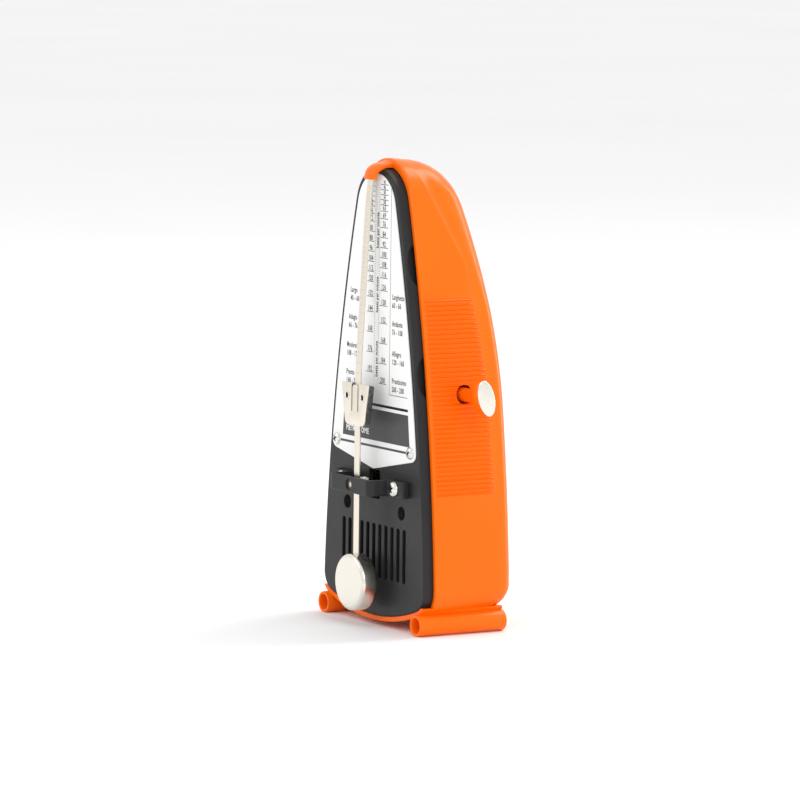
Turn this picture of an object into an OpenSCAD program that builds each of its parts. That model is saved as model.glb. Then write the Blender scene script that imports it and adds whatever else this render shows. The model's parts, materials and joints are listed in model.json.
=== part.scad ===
// Pocket wind-up metronome: a one-piece case with two tube feet and a hooked top, a front panel
// with the tempo scale, a swinging rod with a bob and a sliding weight, and the clockwork inside.
// Millimetres, +Z up, front towards -Y. The origin is at the bottom centre of the bounding box,
// so the case's own mirror plane stands mid_x away from it: only the key breaks the symmetry.
// Depths (names ending in _d) are measured from the front panel's face, positive to the rear.

/* [Case] */
// Height of the case at the crown
case_h = 160; // [158:0.5:162]
// Half width of the front panel at its widest, before the corners are rounded
panel_half_w = 34.36; // [33.5:0.1:35.5]
// Radius of the long curve of each side
side_r = 640; // [620:10:680]
// Wall thickness of the case
wall = 1.8; // [1.4:0.1:2.2]
// Distance from the front panel's face back to the case's rim
rim_d = 3.8; // [3:0.1:5]
// Distance from the front panel's face to the case's back
back_d = 37.4; // [35:0.1:39]
// Radius of the back's forward curve
back_r = 255; // [240:5:280]

/* [Feet] */
// Distance of each tube foot from the mirror plane
foot_x = 31.2; // [30:0.1:32]
// Outer radius of a tube foot
foot_r = 3.7; // [3.4:0.1:4]
// Bore radius of a tube foot
foot_bore_r = 2.7; // [2:0.1:2.8]
// Length of a tube foot
foot_len = 34.3; // [32:0.1:35]

/* [Panel] */
// Height of the pendulum's pivot
pivot_z = 48.7; // [48:0.1:50]
// Number of vent slots
vent_count = 11; // [9:2:11]
// Distance between vent slots
vent_pitch = 4.06; // [3.6:0.02:4.2]
// Width of a vent slot
vent_w = 2; // [1.4:0.1:2.4]
// Margin of the scale plate inside the panel's outline
scale_margin = 2.15; // [1.8:0.05:3]

/* [Pendulum] */
// Width of the rod
rod_w = 3.5; // [3:0.1:3.6]
// Thickness of the rod
rod_t = 0.6; // [0.5:0.1:0.7]
// Radius of the bob
bob_r = 9.75; // [9:0.05:10]
// Thickness of the bob
bob_t = 6.3; // [5:0.1:6.6]

/* [Key] */
// Height of the winding axis
key_z = 81.2; // [81:0.1:82]
// Distance of the winding axis behind the panel's face
key_d = 18.2; // [18:0.1:19]
// Length of the key outside the case
key_out = 14.2; // [12:0.1:15]
// Lean of the key's long axis from upright, in degrees
key_lean = 15.8; // [0:0.1:45]

/* [Clockwork] */
// Tooth module of the wheels
tooth_m = 0.5; // [0.45:0.01:0.52]
// Teeth of the great wheel
great_teeth = 52; // [50:1:54]
// Teeth of the second pinion
second_pinion_teeth = 10; // [9:1:11]
// Teeth of the second wheel
second_teeth = 45; // [42:1:46]
// Teeth of the escape pinion
escape_pinion_teeth = 9; // [8:1:10]
// Teeth of the escape wheel
escape_teeth = 16; // [12:1:20]
// Teeth of the ratchet, a multiple of four
ratchet_teeth = 12; // [8:4:16]

/* [Hidden] */
$fn = 64;

// Colours
orange = [1, 0.42, 0.04];
black = [0.09, 0.09, 0.1];
steel = [0.72, 0.72, 0.74];
nickel = [0.85, 0.83, 0.78];
brass = [0.8, 0.65, 0.3];

// Where the case stands in the part's frame
mid_x = -3.9;
face_y = -13.6;

fine = 360;
gap = 0.05;

// Front outline
side_z = -13.2;
cap_z = 142;
cap_r = 15.1;
bottom_z = 3.3;
bottom_r = 90;
corner_r = 7;
crown_r = 16.5;
crown_z = case_h - crown_r;
back_corner_r = 9;
back_turn_z = 75;
tray_top_z = 9.5;
web_w = 8;
// Depth of the narrow flat on which each round foot stands, and the foot's centre above it
foot_flat = 0.15;
foot_z = foot_r - foot_flat;

// Hook that holds the rod's tip
hood_half_w = 4;
hood_top_z = 158.4;
lip_z = 153;
lip_out_d = -4.3;
lip_in_d = -2.9;
hood_r = 3;

// Panel
panel_t = 1.8;
skirt_t = 1.6;
skirt_d = 9;
vent_low_z = 16.3;
vent_high_z = 34.9;
screw_hole_x = 18.2;
screw_hole_z = 40.3;
screw_hole_r = 2.3;
screw_seat_d = 3.4;
arbor_slot_w = 7;
arbor_slot_low_z = 43.6;
arbor_slot_high_z = 53.4;
grip_low_z = [80.8, 118.3];
grip_h = 13;
grip_d = 0.9;
plate_t = 0.5;
v_tip_z = 53.7;
v_slope = 0.19;
plate_screw_x = 24.7;
plate_screw_z = 61.6;
plate_screw_r = 2.1;

// Pivot bridge
bridge_half_w = 13.9;
bridge_face_d = -10.2;
bridge_t = 1.6;
bridge_h = 5.5;
tab_end_x = 23.3;
tab_t = 2.5;
tab_screw_x = 17.7;
tab_screw_r = 2.6;
bridge_hole_r = 1.8;

// Rod, as a centre line of [depth, height] points: upright below, bent back to its hook above
rod_d = -6.75;
rod_low_z = 20;
rod_bend_z = 84;
rod_path = [[rod_d, rod_low_z], [rod_d, rod_bend_z], [-3.82, 140], [-2.3, 154.3]];
bob_z = 15;
arbor_r = 0.9;
arbor_back_d = 14.6;
hub_r = 2.4;

// Sliding weight
slider_z = 76.2;
slider_h = 14.4;
slider_top_w = 18;
slider_low_w = 12.8;
slider_front_d = -8.1;
slider_plate_t = 0.5;
slider_back_d = -5.3;
slit_x = 1.95;
slit_w = 0.4;
rivet_x = 5.15;
rivet_z = 78.9;

// Movement frame
frame_x = 12;
frame_t = 1;
frame_low_z = 44;
frame_high_z = 98;
frame_front_d = panel_t;
frame_back_d = 32.5;
pillar_r = 1.6;
pillar_spots = [[5, 46], [30.5, 46], [5, 96], [30.5, 96]];
run = 0.05;

// Winding
winder_r = 1.5;
stem_r = 2.3;
key_hole_r = 3.3;
head_len = 5.2;
head_long = 12.5;
head_short = 6.2;
cap_t = 0.7;
side_wall_x = sqrt(side_r * side_r - pow(key_z - side_z, 2)) - side_r + panel_half_w + wall;
ratchet_x = frame_x + frame_t + 1;
ratchet_t = 1.2;
ratchet_r = 5;
ratchet_root_r = 4.2;
ratchet_pitch = 360 / ratchet_teeth;
click_at = [26.5, 88.5];
click_angle = 60;
click_r = 1.8;

// Train
barrel_r = 12;
barrel_low_x = -9;
barrel_len = 12;
barrel_wall = 0.8;
great_x = 4;
great_t = 1.2;
second_x = 8;
wheel_t = 1;
train_arbor_r = 0.8;
escape_r = 7;
escape_d = 9.5;
escape_gap = 1.7;
escape_z = pivot_z + escape_r + escape_gap;
great_to_second = (great_teeth + second_pinion_teeth) * tooth_m / 2;
second_to_escape = (second_teeth + escape_pinion_teeth) * tooth_m / 2;
key_to_escape = sqrt(pow(key_d - escape_d, 2) + pow(key_z - escape_z, 2));
along = (pow(great_to_second, 2) - pow(second_to_escape, 2) + pow(key_to_escape, 2))
    / (2 * key_to_escape);
across = sqrt(pow(great_to_second, 2) - pow(along, 2));
down_u = [(escape_d - key_d) / key_to_escape, (escape_z - key_z) / key_to_escape];
second_d = key_d + along * down_u[0] - across * down_u[1];
second_z = key_z + along * down_u[1] + across * down_u[0];
fork_in_x = 3.4;
fork_t = 0.5;
fork_h = 3.6;

// Stands a piece where the case stands, in its colour
module piece(tint) {
    color(tint) translate([mid_x, face_y, 0]) children();
}

// Extrudes an outline drawn in X and Z from one depth to another
module front_slab(from_d, to_d) {
    translate([0, to_d, 0]) rotate([90, 0, 0]) linear_extrude(to_d - from_d) children();
}

// Extrudes an outline drawn in depth and Z from one X to another
module side_slab(from_x, to_x) {
    translate([from_x, 0, 0]) rotate([90, 0, 90]) linear_extrude(to_x - from_x) children();
}

// A cylinder along depth
module rod_y(x, z, from_d, to_d, r) {
    translate([x, from_d, z]) rotate([-90, 0, 0]) cylinder(h = to_d - from_d, r = r);
}

// A cylinder along X
module rod_x(d, z, from_x, to_x, r) {
    translate([from_x, d, z]) rotate([0, 90, 0]) cylinder(h = to_x - from_x, r = r);
}

// Draws its child on both sides of the mirror plane
module both_sides() {
    children();
    mirror([1, 0, 0]) children();
}

// Front panel's outline: two long side curves under a round cap, with a bowed bottom
module panel_2d() {
    offset(r = corner_r) offset(delta = -corner_r) intersection() {
        union() {
            translate([0, cap_z]) circle(r = cap_r, $fn = 96);
            intersection() {
                translate([panel_half_w - side_r, side_z]) circle(r = side_r, $fn = 2 * fine);
                translate([side_r - panel_half_w, side_z]) circle(r = side_r, $fn = 2 * fine);
                translate([-panel_half_w, 0]) square([2 * panel_half_w, cap_z + 3]);
            }
        }
        translate([0, bottom_z + bottom_r]) circle(r = bottom_r, $fn = fine);
    }
}

// Case's outline seen from the front
module case_2d() {
    offset(r = wall) panel_2d();
    translate([0, crown_z]) circle(r = crown_r, $fn = 96);
}

// Case's outline seen from the side, in depth and Z, grown inwards by inset
module back_2d(inset) {
    offset(r = back_corner_r - inset) offset(delta = -back_corner_r) {
        intersection() {
            translate([back_d - back_r, back_turn_z]) circle(r = back_r, $fn = 2 * fine);
            translate([rim_d - 40, back_turn_z - 5]) square([80, case_h - back_turn_z + 5]);
        }
        translate([rim_d - 40, 0]) square([back_d - rim_d + 40, back_turn_z]);
    }
}

// Hook seen from the side, in depth and Z
module hood_2d() {
    difference() {
        union() {
            translate([lip_out_d + hood_r, lip_z]) square([rim_d - lip_out_d, hood_top_z - lip_z]);
            translate([lip_out_d, lip_z]) square([2 * hood_r, hood_top_z - hood_r - lip_z]);
            translate([lip_out_d + hood_r, hood_top_z - hood_r]) circle(r = hood_r);
        }
        polygon([[lip_in_d, lip_z - 1], [lip_in_d, 155.3], [-0.6, 155.9], [1.2, 157],
            [rim_d + 4, 157], [rim_d + 4, lip_z - 1]]);
    }
}

module rear_housing() {
    piece(orange) difference() {
        union() {
            intersection() {
                front_slab(rim_d, back_d + 1) case_2d();
                side_slab(-40, 40) back_2d(0);
            }
            front_slab(0, rim_d) difference() {
                intersection() {
                    offset(r = wall) panel_2d();
                    translate([-40, 0]) square([80, tray_top_z]);
                }
                offset(delta = gap) panel_2d();
            }
            both_sides() rod_y(foot_x, foot_z, -1.65, foot_len - 1.65, foot_r);
            both_sides() translate([foot_x - web_w + foot_r, 0, foot_z])
                cube([web_w - 0.3, foot_len - 2, tray_top_z - foot_z]);
            side_slab(-hood_half_w, hood_half_w) hood_2d();
        }
        intersection() {
            front_slab(-1, back_d) offset(delta = gap) panel_2d();
            union() {
                side_slab(-40, 40) back_2d(wall);
                translate([-40, -1, 0]) cube([80, rim_d + 5, lip_z - 3]);
                translate([-40, 0, 0]) cube([80, rim_d + 5, case_h]);
            }
        }
        both_sides() rod_y(foot_x, foot_z, -3, foot_len, foot_bore_r);
        translate([-50, -10, -10]) cube([100, 80, 10]);
        rod_x(key_d, key_z, 20, 40, key_hole_r);
    }
    piece(orange) both_sides() difference() {
        rod_y(screw_hole_x, screw_hole_z, 20, back_d - wall + 0.4, 3);
        rod_y(screw_hole_x, screw_hole_z, 19, 32, 1.2);
    }
}

module vent_2d(x) {
    low_z = vent_low_z + vent_w / 2;
    high_z = vent_high_z - vent_w / 2;
    translate([x, low_z]) circle(d = vent_w);
    translate([x, high_z]) circle(d = vent_w);
    translate([x - vent_w / 2, low_z]) square([vent_w, high_z - low_z]);
}

module front_chassis() {
    piece(black) difference() {
        union() {
            front_slab(0, panel_t) panel_2d();
            front_slab(0, skirt_d) difference() {
                panel_2d();
                offset(delta = -skirt_t) panel_2d();
            }
            both_sides() rod_y(plate_screw_x, plate_screw_z, 0, 7, 2.2);
            both_sides() rod_y(tab_screw_x, pivot_z, 0, 7, 2.2);
            both_sides() rod_y(screw_hole_x, screw_hole_z, 0, 7, 3.2);
        }
        front_slab(-1, panel_t + 1) for (i = [0 : vent_count - 1])
            vent_2d((i - (vent_count - 1) / 2) * vent_pitch);
        both_sides() rod_y(screw_hole_x, screw_hole_z, -1, screw_seat_d, screw_hole_r);
        both_sides() rod_y(screw_hole_x, screw_hole_z, 0, 8, 1.3);
        both_sides() rod_y(plate_screw_x, plate_screw_z, -1, 6, 1);
        both_sides() rod_y(tab_screw_x, pivot_z, -1, 6, 1.2);
        translate([-arbor_slot_w / 2, -1, arbor_slot_low_z])
            cube([arbor_slot_w, panel_t + 2, arbor_slot_high_z - arbor_slot_low_z]);
        for (z = grip_low_z)
            both_sides() translate([12, grip_d, z]) cube([30, skirt_d, grip_h]);
    }
}

module scale_plate() {
    piece(nickel) difference() {
        front_slab(-plate_t, 0) intersection() {
            offset(delta = -scale_margin) panel_2d();
            offset(r = 1.5) offset(delta = -1.5)
                polygon([[0, v_tip_z], [40, v_tip_z + 40 * v_slope], [40, case_h], [-40, case_h],
                    [-40, v_tip_z + 40 * v_slope]]);
        }
        both_sides() rod_y(plate_screw_x, plate_screw_z, -1, 1, 1.1);
    }
}

// Screw along depth with a domed cross-slot head in front of head_d
module panel_screw(x, z, head_d, head_r, head_h, shank_r, end_d) {
    difference() {
        union() {
            rod_y(x, z, head_d - head_h, head_d, head_r);
            rod_y(x, z, head_d, end_d, shank_r);
        }
        for (a = [0, 90])
            translate([x, head_d - head_h, z]) rotate([0, a, 0])
                cube([head_r * 1.2, head_h, head_r * 0.3], center = true);
    }
}

module scale_plate_screws() {
    piece(steel) both_sides()
        panel_screw(plate_screw_x, plate_screw_z, -plate_t, plate_screw_r, 1.2, 1, 5.5);
}

module pivot_bridge() {
    piece(black) difference() {
        union() {
            translate([-bridge_half_w, bridge_face_d, pivot_z - bridge_h / 2])
                cube([2 * bridge_half_w, bridge_t, bridge_h]);
            both_sides() translate([bridge_half_w - bridge_t, bridge_face_d, pivot_z - bridge_h / 2])
                cube([bridge_t, -bridge_face_d, bridge_h]);
            both_sides() translate([bridge_half_w - bridge_t, -tab_t, pivot_z - bridge_h / 2])
                cube([tab_end_x - bridge_half_w + bridge_t, tab_t, bridge_h]);
        }
        rod_y(0, pivot_z, bridge_face_d - 1, -5, bridge_hole_r);
        both_sides() rod_y(tab_screw_x, pivot_z, -tab_t - 1, 1, 1.3);
    }
}

module bridge_screws() {
    piece(steel) both_sides()
        panel_screw(tab_screw_x, pivot_z, -tab_t, tab_screw_r, 1.6, 1.2, 5.5);
}

module housing_screws() {
    piece(steel) both_sides() panel_screw(screw_hole_x, screw_hole_z, screw_seat_d, 2.1, 1.5, 1.2, 31);
}

module movement_plate_2d() {
    difference() {
        offset(r = 2) offset(delta = -2) translate([frame_front_d, frame_low_z])
            square([frame_back_d - frame_front_d, frame_high_z - frame_low_z]);
        translate([key_d, key_z]) circle(r = winder_r + run);
        translate([second_d, second_z]) circle(r = train_arbor_r / 2 + run);
        translate([escape_d, escape_z]) circle(r = train_arbor_r / 2 + run);
        for (p = pillar_spots)
            translate(p) circle(r = 1);
    }
}

module left_movement_plate() {
    piece(brass) side_slab(-frame_x - frame_t, -frame_x) movement_plate_2d();
}

module right_movement_plate() {
    piece(brass) side_slab(frame_x, frame_x + frame_t) difference() {
        movement_plate_2d();
        translate(click_at) circle(r = 1);
    }
}

module movement_pillars() {
    piece(brass) for (p = pillar_spots)
        difference() {
            rod_x(p[0], p[1], -frame_x, frame_x, pillar_r);
            rod_x(p[0], p[1], -frame_x - 1, -frame_x + 4, 1);
            rod_x(p[0], p[1], frame_x - 4, frame_x + 1, 1);
        }
}

module movement_screws() {
    piece(steel) for (p = pillar_spots)
        both_sides() {
            rod_x(p[0], p[1], frame_x + frame_t, frame_x + frame_t + 0.8, 1.8);
            rod_x(p[0], p[1], frame_x - 3.8, frame_x + frame_t, 1);
        }
}

module front_pivot_bush() {
    piece(brass) difference() {
        rod_y(0, pivot_z, bridge_face_d + 0.6, bridge_face_d + bridge_t, bridge_hole_r);
        rod_y(0, pivot_z, bridge_face_d, bridge_face_d + bridge_t + 1, arbor_r + run);
    }
}

module rear_pivot_bar() {
    piece(brass) difference() {
        translate([-frame_x, 12.9, pivot_z - 3]) cube([2 * frame_x, 1.5, 4.8]);
        rod_y(0, pivot_z, 12, 16, arbor_r + run);
    }
}

module click_stud() {
    piece(steel) {
        rod_x(click_at[0], click_at[1], frame_x, ratchet_x + ratchet_t, 1);
        rod_x(click_at[0], click_at[1], ratchet_x + ratchet_t, ratchet_x + ratchet_t + 0.6, 1.7);
    }
}

// Rod's side outline: its centre line thickened to rod_t
module rod_2d() {
    front_pts = [for (p = rod_path) [p[0] - rod_t / 2, p[1]]];
    back_pts = [for (i = [len(rod_path) - 1 : -1 : 0]) [rod_path[i][0] + rod_t / 2, rod_path[i][1]]];
    polygon(concat(front_pts, back_pts));
}

module pendulum_rod() {
    piece(nickel) difference() {
        side_slab(-rod_w / 2, rod_w / 2) rod_2d();
        rod_y(0, pivot_z, rod_d - 1, rod_d + 1, hub_r * 0.6);
    }
}

module pendulum_hub() {
    piece(steel) difference() {
        union() {
            rod_y(0, pivot_z, rod_d - rod_t / 2 - 0.6, rod_d - rod_t / 2, hub_r * 0.6);
            rod_y(0, pivot_z, rod_d - rod_t / 2, rod_d + rod_t / 2, hub_r * 0.6);
            rod_y(0, pivot_z, rod_d + rod_t / 2, -2.2, hub_r);
        }
        rod_y(0, pivot_z, rod_d - 3, 0, arbor_r);
    }
}

module pendulum_arbor() {
    piece(steel) rod_y(0, pivot_z, bridge_face_d + 0.7, arbor_back_d, arbor_r);
}

module pallet_fork() {
    piece(steel) difference() {
        union() {
            translate([-fork_in_x - fork_t, escape_d - 0.8, pivot_z - 1.4])
                cube([2 * (fork_in_x + fork_t), 1.6, 2.2]);
            both_sides() translate([fork_in_x, escape_d - 0.8, pivot_z - 1.4])
                cube([fork_t, 1.6, fork_h + 1.4]);
        }
        rod_y(0, pivot_z, escape_d - 3, escape_d + 3, arbor_r);
    }
}

module pendulum_bob() {
    bob_front_d = rod_d - bob_t / 2;
    piece(nickel) difference() {
        rod_y(0, bob_z, bob_front_d, bob_front_d + bob_t, bob_r);
        translate([-rod_w / 2, rod_d - rod_t / 2, rod_low_z]) cube([rod_w, rod_t, 20]);
    }
}

// Slider's front outline: a wedge with rounded lower corners
module slider_2d() {
    low_z = slider_z - slider_h / 2;
    offset(r = 1.2) offset(delta = -1.2)
        polygon([[-slider_low_w / 2, low_z], [slider_low_w / 2, low_z],
            [slider_top_w / 2, low_z + slider_h], [-slider_top_w / 2, low_z + slider_h]]);
}

module slider_plate() {
    piece(nickel) difference() {
        front_slab(slider_front_d, slider_front_d + slider_plate_t) slider_2d();
        both_sides() translate([slit_x, slider_front_d - 1, slider_z - 2.4])
            cube([slit_w, 2, slider_h]);
        both_sides() rod_y(rivet_x, rivet_z, slider_front_d - 1, slider_front_d + 1, 0.9);
    }
}

module slider_weight() {
    block_front_d = slider_front_d + slider_plate_t;
    clip_d = rod_d + rod_t / 2 + 0.7;
    piece(steel) difference() {
        union() {
            front_slab(block_front_d, slider_back_d) intersection() {
                offset(delta = -0.3) slider_2d();
                both_sides() translate([slit_x, 0]) square([20, case_h]);
            }
            translate([-slit_x - 0.5, clip_d, slider_z - slider_h / 2 + 0.6])
                cube([2 * slit_x + 1, slider_back_d - clip_d, 4]);
        }
        both_sides() rod_y(rivet_x, rivet_z, slider_front_d, slider_back_d + 1, 0.9);
    }
}

module slider_rivets() {
    piece(steel) both_sides() {
        rod_y(rivet_x, rivet_z, slider_front_d, slider_back_d, 0.9);
        rod_y(rivet_x, rivet_z, slider_front_d - 0.3, slider_front_d, 1.5);
    }
}

// Key's oval, in depth and Z around the winding axis
module key_oval_2d(grow) {
    translate([key_d, key_z]) rotate(key_lean) hull() {
        translate([0, (head_long - head_short) / 2]) circle(d = head_short + 2 * grow, $fn = 48);
        translate([0, (head_short - head_long) / 2]) circle(d = head_short + 2 * grow, $fn = 48);
    }
}

module winding_key() {
    end_x = side_wall_x + key_out;
    piece(orange) difference() {
        union() {
            rod_x(key_d, key_z, 17, end_x - head_len, stem_r);
            side_slab(end_x - head_len, end_x - cap_t) key_oval_2d(0);
        }
        rod_x(key_d, key_z, 16, end_x - head_len, winder_r);
    }
}

module key_cap() {
    end_x = side_wall_x + key_out;
    piece(steel) side_slab(end_x - cap_t, end_x) key_oval_2d(0.15);
}

module winding_arbor() {
    piece(steel) rod_x(key_d, key_z, -frame_x - frame_t, side_wall_x + key_out - head_len, winder_r);
}

function polar(r, a) = [r * cos(a), r * sin(a)];

module ratchet_wheel() {
    rim = [for (i = [0 : ratchet_teeth - 1])
        for (r = [ratchet_root_r, ratchet_r])
            polar(r, click_angle + i * ratchet_pitch)];
    piece(steel) difference() {
        side_slab(ratchet_x, ratchet_x + ratchet_t) translate([key_d, key_z]) polygon(rim);
        rod_x(key_d, key_z, 10, 20, winder_r);
    }
}

// Click: a lever on its stud whose tip lies in a notch of the ratchet, above the sloped flank
module click() {
    notch_a = click_angle + ratchet_pitch;
    tip = [key_d, key_z] + polar(ratchet_root_r + 0.2, notch_a - 3);
    crest = [key_d, key_z] + polar(ratchet_r + 1.6, notch_a - 3);
    heel = [key_d, key_z] + polar(ratchet_r + 0.3, notch_a - 18);
    piece(steel) difference() {
        union() {
            side_slab(ratchet_x, ratchet_x + ratchet_t)
                polygon([tip, crest, click_at + [0.5, 1.5], click_at + [0.5, -1.5], heel]);
            rod_x(click_at[0], click_at[1], ratchet_x, ratchet_x + ratchet_t, click_r);
        }
        rod_x(click_at[0], click_at[1], ratchet_x - 1, ratchet_x + ratchet_t + 1, 1 + run);
    }
}

module click_spring() {
    piece(steel) side_slab(ratchet_x, ratchet_x + ratchet_t)
        translate([click_at[0] - 0.2, click_at[1] + click_r]) square([0.35, 5]);
}

// Wheel outline with trapezoid teeth, turned so that a tooth stands at the angle start
module gear_2d(teeth, start) {
    pitch_r = teeth * tooth_m / 2;
    step = 360 / teeth;
    polygon([for (i = [0 : teeth - 1])
        for (p = [[-0.21, -1.15], [-0.1, 0.75], [0.1, 0.75], [0.21, -1.15]])
            polar(pitch_r + p[1] * tooth_m, start + (i + p[0]) * step)]);
}

key_to_second_a = atan2(second_z - key_z, second_d - key_d);
second_to_escape_a = atan2(escape_z - second_z, escape_d - second_d);
// A tooth of the great wheel points at the pinion's gap, and so on down the train
great_start = key_to_second_a;
second_pinion_start = key_to_second_a + 180 + 180 / second_pinion_teeth;
second_start = second_to_escape_a;
escape_pinion_start = second_to_escape_a + 180 + 180 / escape_pinion_teeth;

module spring_barrel() {
    piece(brass) difference() {
        rod_x(key_d, key_z, barrel_low_x, barrel_low_x + barrel_len, barrel_r);
        rod_x(key_d, key_z, barrel_low_x + barrel_wall, barrel_low_x + barrel_len + 1,
            barrel_r - barrel_wall);
        rod_x(key_d, key_z, barrel_low_x - 1, barrel_low_x + 2, winder_r + run);
    }
}

module barrel_cover() {
    cover_x = barrel_low_x + barrel_len;
    piece(brass) difference() {
        rod_x(key_d, key_z, cover_x, great_x, barrel_r);
        rod_x(key_d, key_z, cover_x - 1, great_x + 1, winder_r + run);
    }
}

module great_wheel() {
    piece(brass) difference() {
        side_slab(great_x, great_x + great_t) translate([key_d, key_z])
            gear_2d(great_teeth, great_start);
        rod_x(key_d, key_z, great_x - 1, great_x + 3, winder_r + run);
    }
}

// Spiral strip whose outer end touches the barrel and whose inner end stays clear of the arbor
module mainspring() {
    turns = 6;
    strip = 0.3;
    in_r = 3;
    out_r = barrel_r - barrel_wall - strip;
    steps = 24 * turns;
    inner = [for (i = [0 : steps]) polar(in_r + (out_r - in_r) * i / steps, i * 15)];
    outer = [for (i = [steps : -1 : 0]) polar(in_r + strip + (out_r - in_r) * i / steps, i * 15)];
    piece(steel) side_slab(barrel_low_x + barrel_wall + 0.4, barrel_low_x + barrel_len - 0.4)
        translate([key_d, key_z]) polygon(concat(inner, outer));
}

// Arbor of the train with thin pivots in the frame plates
module train_arbor(d, z) {
    rod_x(d, z, -frame_x + 0.1, frame_x - 0.1, train_arbor_r);
    rod_x(d, z, -frame_x - frame_t, frame_x + frame_t, train_arbor_r / 2);
}

module second_arbor() {
    piece(steel) {
        train_arbor(second_d, second_z);
        side_slab(great_x - 0.6, second_x) translate([second_d, second_z])
            gear_2d(second_pinion_teeth, second_pinion_start);
    }
}

module second_wheel() {
    piece(brass) difference() {
        side_slab(second_x, second_x + wheel_t) translate([second_d, second_z])
            gear_2d(second_teeth, second_start);
        rod_x(second_d, second_z, second_x - 1, second_x + 3, train_arbor_r);
    }
}

module escape_arbor() {
    piece(steel) {
        train_arbor(escape_d, escape_z);
        side_slab(second_x - 0.6, second_x + wheel_t + 0.6) translate([escape_d, escape_z])
            gear_2d(escape_pinion_teeth, escape_pinion_start);
    }
}

module escape_wheel() {
    rim = [for (i = [0 : escape_teeth - 1])
        for (p = [[escape_r - 1.8, -0.3], [escape_r, 0], [escape_r, 0.1], [escape_r - 1.8, 0.3]])
            polar(p[0], -90 + (i + p[1]) * 360 / escape_teeth)];
    piece(brass) difference() {
        side_slab(-0.5, 0.5) translate([escape_d, escape_z]) polygon(rim);
        rod_x(escape_d, escape_z, -2, 2, train_arbor_r);
    }
}

rear_housing();
front_chassis();
scale_plate();
scale_plate_screws();
pivot_bridge();
bridge_screws();
housing_screws();
left_movement_plate();
right_movement_plate();
movement_pillars();
movement_screws();
front_pivot_bush();
rear_pivot_bar();
click_stud();
pendulum_rod();
pendulum_hub();
pendulum_arbor();
pallet_fork();
pendulum_bob();
slider_plate();
slider_weight();
slider_rivets();
winding_key();
key_cap();
winding_arbor();
ratchet_wheel();
spring_barrel();
barrel_cover();
great_wheel();
mainspring();
second_arbor();
second_wheel();
escape_arbor();
escape_wheel();
click();
click_spring();
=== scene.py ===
"""Looks of the pocket metronome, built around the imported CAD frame."""
import json
import math

import bmesh
import bpy
from mathutils import Matrix, Vector


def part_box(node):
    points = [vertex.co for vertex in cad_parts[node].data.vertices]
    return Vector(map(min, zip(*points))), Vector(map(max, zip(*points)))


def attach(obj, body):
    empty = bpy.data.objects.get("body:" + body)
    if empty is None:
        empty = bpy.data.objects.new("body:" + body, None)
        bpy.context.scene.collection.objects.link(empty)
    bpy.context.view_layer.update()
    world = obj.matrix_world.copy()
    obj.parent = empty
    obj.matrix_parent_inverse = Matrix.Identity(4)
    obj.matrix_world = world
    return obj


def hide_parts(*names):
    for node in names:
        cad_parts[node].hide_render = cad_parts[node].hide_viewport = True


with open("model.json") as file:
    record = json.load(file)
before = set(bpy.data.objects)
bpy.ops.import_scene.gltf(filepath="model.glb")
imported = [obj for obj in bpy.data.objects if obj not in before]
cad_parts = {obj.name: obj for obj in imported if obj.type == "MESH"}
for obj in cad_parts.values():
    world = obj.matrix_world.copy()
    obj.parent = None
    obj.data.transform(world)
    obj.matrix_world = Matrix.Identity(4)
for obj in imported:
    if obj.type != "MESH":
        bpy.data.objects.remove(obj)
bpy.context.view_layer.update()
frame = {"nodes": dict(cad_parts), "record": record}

MM = 0.001
housing_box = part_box("rear_housing")
MID_X = (housing_box[0].x + housing_box[1].x) / 2
FACE_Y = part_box("front_chassis")[0].y
scene = bpy.context.scene
nodes = frame["nodes"]

# The case's sizes in millimetres, as in the part's source.
WALL, RIM_D, GAP = 1.8, 3.8, 0.05
PIVOT_Z = 48.7
HOUSING_SCREW_X, HOUSING_SCREW_Z = 18.2, 40.3
BRIDGE_SCREW_X = 17.7
PLATE_SCREW_X, PLATE_SCREW_Z = 24.7, 61.6
EYELET_X, EYELET_Z = 5.15, 78.9
KEY_D, KEY_Z, KEY_HOLE_R = 18.2, 81.2, 3.3


# ---------------------------------------------------------------- places
# Points are (x, d, z) in millimetres: x from the mirror plane, d behind the panel's face.
def place(p):
    return Vector((MID_X + p[0] * MM, FACE_Y + p[1] * MM, p[2] * MM))


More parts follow.
